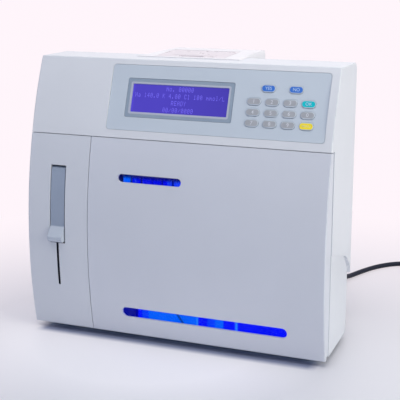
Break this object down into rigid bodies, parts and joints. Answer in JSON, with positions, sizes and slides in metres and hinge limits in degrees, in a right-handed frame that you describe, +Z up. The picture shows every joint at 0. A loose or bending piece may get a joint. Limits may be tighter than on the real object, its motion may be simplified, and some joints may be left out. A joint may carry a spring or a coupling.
{
  "type": "electrolyte analyzer",
  "caption": "Bench-top electrolyte analyzer: bulged front with hinged door, lit slots, sample lever and probe, sloping keypad and display, top printer, mains cord.",
  "frame": {"origin": "middle of the footprint on the table, without the cord", "axes": "+X to the right of the front, +Y to the rear, +Z up"},
  "size_m": [0.5072, 0.4826, 0.3535],
  "materials": {
    "case_white": "fine matte moulded plastic, cool white",
    "door_white": "fine matte moulded plastic, cool white",
    "hood_white": "fine powder coat",
    "pan_steel": "zinc-plated sheet",
    "rubber_black": "matte rubber",
    "overlay_grey": "fine textured polyester film",
    "lcd_frame": "satin grey frame",
    "lcd_blue": "lit blue display",
    "key_blue": "matte key",
    "key_teal": "matte key",
    "key_yellow": "matte key",
    "key_grey": "matte key",
    "board_green": "solder-masked board",
    "lever_grey": "satin grey lever",
    "needle_steel": "polished stainless tube",
    "pin_steel": "ground steel pin",
    "window_clear": "clear acrylic",
    "holder_grey": "dark grey moulding",
    "electrode_clear": "clear acrylic block",
    "lamp_blue": "lit blue lamp strip",
    "plate_white": "powder-coated sheet",
    "motor_metal": "cast and turned",
    "rotor_white": "acetal",
    "roller_steel": "ground steel",
    "tube_clear": "silicone tube",
    "valve_black": "black moulding",
    "pack_white": "translucent polyethylene",
    "supply_metal": "pressed cage",
    "fan_black": "black moulding",
    "inlet_black": "black moulding",
    "rocker_black": "gloss black",
    "lid_tint": "smoked translucent plastic",
    "printer_white": "fine matte moulded plastic",
    "paper_white": "thermal paper",
    "platen_rubber": "rubber on a steel shaft",
    "screw_steel": "plated pan head",
    "panel_metal": "powder-coated plate",
    "cord_black": "matte cord jacket",
    "plug_black": "moulded black plug"
  },
  "bodies": {
    "case": {"base_plate": "pan_steel", "cooling_fan": "fan_black", "cord_coil": "cord_black", "cord_connector": "plug_black", "electrode_holder": "holder_grey", "fluid_tubing": "tube_clear", "hinge_pins": "pin_steel", "ion_electrodes": "electrode_clear", "keypad_board": "board_green", "lcd_glass": "lcd_blue", "lcd_module": "lcd_frame", "light_bars": "lamp_blue", "main_board": "board_green", "main_cover": "case_white", "mains_cord": "cord_black", "mains_plug": "plug_black", "module_plate": "plate_white", "overlay_panel": "overlay_grey", "panel_screws": "screw_steel", "pinch_valve": "valve_black", "power_inlet": "inlet_black", "power_supply": "supply_metal", "printer_housing": "printer_white", "printer_mechanism": "holder_grey", "pump_head": "holder_grey", "pump_motor": "motor_metal", "reagent_pack": "pack_white", "rear_casing": "hood_white", "rear_panel": "panel_metal", "reference_electrode": "electrode_clear", "rubber_feet": "rubber_black", "sampler_panel": "case_white"},
    "door": {"front_door": "door_white", "door_windows": "window_clear"},
    "lever": {"sample_lever": "lever_grey", "sample_probe": "needle_steel"},
    "paper_lid": {"printer_cover": "lid_tint"},
    "rocker": {"switch_rocker": "rocker_black"},
    "fan": {"fan_rotor": "fan_black"},
    "rotor": {"pump_rotor": "rotor_white"},
    "plunger": {"valve_plunger": "roller_steel"},
    "paper": {"paper_roll": "paper_white"},
    "platen": {"platen_roller": "platen_rubber"},
    "key_01_cap": {"key_01": "key_grey"},
    "key_02_cap": {"key_02": "key_grey"},
    "key_03_cap": {"key_03": "key_grey"},
    "key_04_cap": {"key_04": "key_teal"},
    "key_05_cap": {"key_05": "key_grey"},
    "key_06_cap": {"key_06": "key_grey"},
    "key_07_cap": {"key_07": "key_grey"},
    "key_08_cap": {"key_08": "key_grey"},
    "key_09_cap": {"key_09": "key_grey"},
    "key_10_cap": {"key_10": "key_grey"},
    "key_11_cap": {"key_11": "key_grey"},
    "key_12_cap": {"key_12": "key_yellow"},
    "key_13_cap": {"key_13": "key_blue"},
    "key_14_cap": {"key_14": "key_blue"},
    "pump_roller_1_body": {"pump_roller_1": "roller_steel"},
    "pump_roller_2_body": {"pump_roller_2": "roller_steel"},
    "pump_roller_3_body": {"pump_roller_3": "roller_steel"}
  },
  "joints": [
    {"name": "door_swing", "type": "hinge", "parent": "case", "child": "door", "pos_m": [0.19, -0.0751, 0.13], "axis": [0, 0, 1], "range_deg": [0, 90]},
    {"name": "lever_swing", "type": "hinge", "parent": "case", "child": "lever", "pos_m": [-0.1532, -0.0835, 0.211], "axis": [-1, 0, 0], "range_deg": [0, 60]},
    {"name": "lid_swing", "type": "hinge", "parent": "case", "child": "paper_lid", "pos_m": [-0.008, 0.0445, 0.3505], "axis": [-1, 0, 0], "range_deg": [0, 100]},
    {"name": "power_rocker", "type": "hinge", "parent": "case", "child": "rocker", "pos_m": [0.138, 0.098, 0.09], "axis": [0, 0, 1], "range_deg": [0, 12]},
    {"name": "fan_spin", "type": "hinge", "parent": "case", "child": "fan", "pos_m": [-0.095, 0.0905, 0.24], "axis": [0, 1, 0], "continuous": true},
    {"name": "pump_spin", "type": "hinge", "parent": "case", "child": "rotor", "pos_m": [0.118, -0.0475, 0.168], "axis": [0, 1, 0], "continuous": true},
    {"name": "roller_1_spin", "type": "hinge", "parent": "rotor", "child": "pump_roller_1_body", "pos_m": [0.118, -0.0475, 0.1875], "axis": [0, 1, 0], "continuous": true},
    {"name": "roller_2_spin", "type": "hinge", "parent": "rotor", "child": "pump_roller_2_body", "pos_m": [0.10111, -0.0475, 0.15825], "axis": [0, 1, 0], "continuous": true},
    {"name": "roller_3_spin", "type": "hinge", "parent": "rotor", "child": "pump_roller_3_body", "pos_m": [0.13489, -0.0475, 0.15825], "axis": [0, 1, 0], "continuous": true},
    {"name": "valve_stroke", "type": "slide", "parent": "case", "child": "plunger", "axis": [0, 1, 0], "range_m": [0, 0.002], "stiffness_N_per_m": 500},
    {"name": "paper_spin", "type": "hinge", "parent": "case", "child": "paper", "pos_m": [-0.008, 0.0265, 0.3255], "axis": [1, 0, 0], "continuous": true},
    {"name": "platen_spin", "type": "hinge", "parent": "case", "child": "platen", "pos_m": [-0.008, -0.0015, 0.3405], "axis": [1, 0, 0], "continuous": true},
    {"name": "key_01_press", "type": "slide", "parent": "case", "child": "key_01_cap", "axis": [0, 0.9429, -0.333], "range_m": [0, 0.0008], "stiffness_N_per_m": 600},
    {"name": "key_02_press", "type": "slide", "parent": "case", "child": "key_02_cap", "axis": [0, 0.9429, -0.333], "range_m": [0, 0.0008], "stiffness_N_per_m": 600},
    {"name": "key_03_press", "type": "slide", "parent": "case", "child": "key_03_cap", "axis": [0, 0.9429, -0.333], "range_m": [0, 0.0008], "stiffness_N_per_m": 600},
    {"name": "key_04_press", "type": "slide", "parent": "case", "child": "key_04_cap", "axis": [0, 0.9429, -0.333], "range_m": [0, 0.0008], "stiffness_N_per_m": 600},
    {"name": "key_05_press", "type": "slide", "parent": "case", "child": "key_05_cap", "axis": [0, 0.9429, -0.333], "range_m": [0, 0.0008], "stiffness_N_per_m": 600},
    {"name": "key_06_press", "type": "slide", "parent": "case", "child": "key_06_cap", "axis": [0, 0.9429, -0.333], "range_m": [0, 0.0008], "stiffness_N_per_m": 600},
    {"name": "key_07_press", "type": "slide", "parent": "case", "child": "key_07_cap", "axis": [0, 0.9429, -0.333], "range_m": [0, 0.0008], "stiffness_N_per_m": 600},
    {"name": "key_08_press", "type": "slide", "parent": "case", "child": "key_08_cap", "axis": [0, 0.9429, -0.333], "range_m": [0, 0.0008], "stiffness_N_per_m": 600},
    {"name": "key_09_press", "type": "slide", "parent": "case", "child": "key_09_cap", "axis": [0, 0.9429, -0.333], "range_m": [0, 0.0008], "stiffness_N_per_m": 600},
    {"name": "key_10_press", "type": "slide", "parent": "case", "child": "key_10_cap", "axis": [0, 0.9429, -0.333], "range_m": [0, 0.0008], "stiffness_N_per_m": 600},
    {"name": "key_11_press", "type": "slide", "parent": "case", "child": "key_11_cap", "axis": [0, 0.9429, -0.333], "range_m": [0, 0.0008], "stiffness_N_per_m": 600},
    {"name": "key_12_press", "type": "slide", "parent": "case", "child": "key_12_cap", "axis": [0, 0.9429, -0.333], "range_m": [0, 0.0008], "stiffness_N_per_m": 600},
    {"name": "key_13_press", "type": "slide", "parent": "case", "child": "key_13_cap", "axis": [0, 0.9429, -0.333], "range_m": [0, 0.0008], "stiffness_N_per_m": 600},
    {"name": "key_14_press", "type": "slide", "parent": "case", "child": "key_14_cap", "axis": [0, 0.9429, -0.333], "range_m": [0, 0.0008], "stiffness_N_per_m": 600}
  ],
  "couplings": [
    {"joint": "roller_1_spin", "follows": "pump_spin", "ratio": -4.9},
    {"joint": "roller_2_spin", "follows": "pump_spin", "ratio": -4.9},
    {"joint": "roller_3_spin", "follows": "pump_spin", "ratio": -4.9},
    {"joint": "platen_spin", "follows": "paper_spin", "ratio": 4.4444}
  ]
}
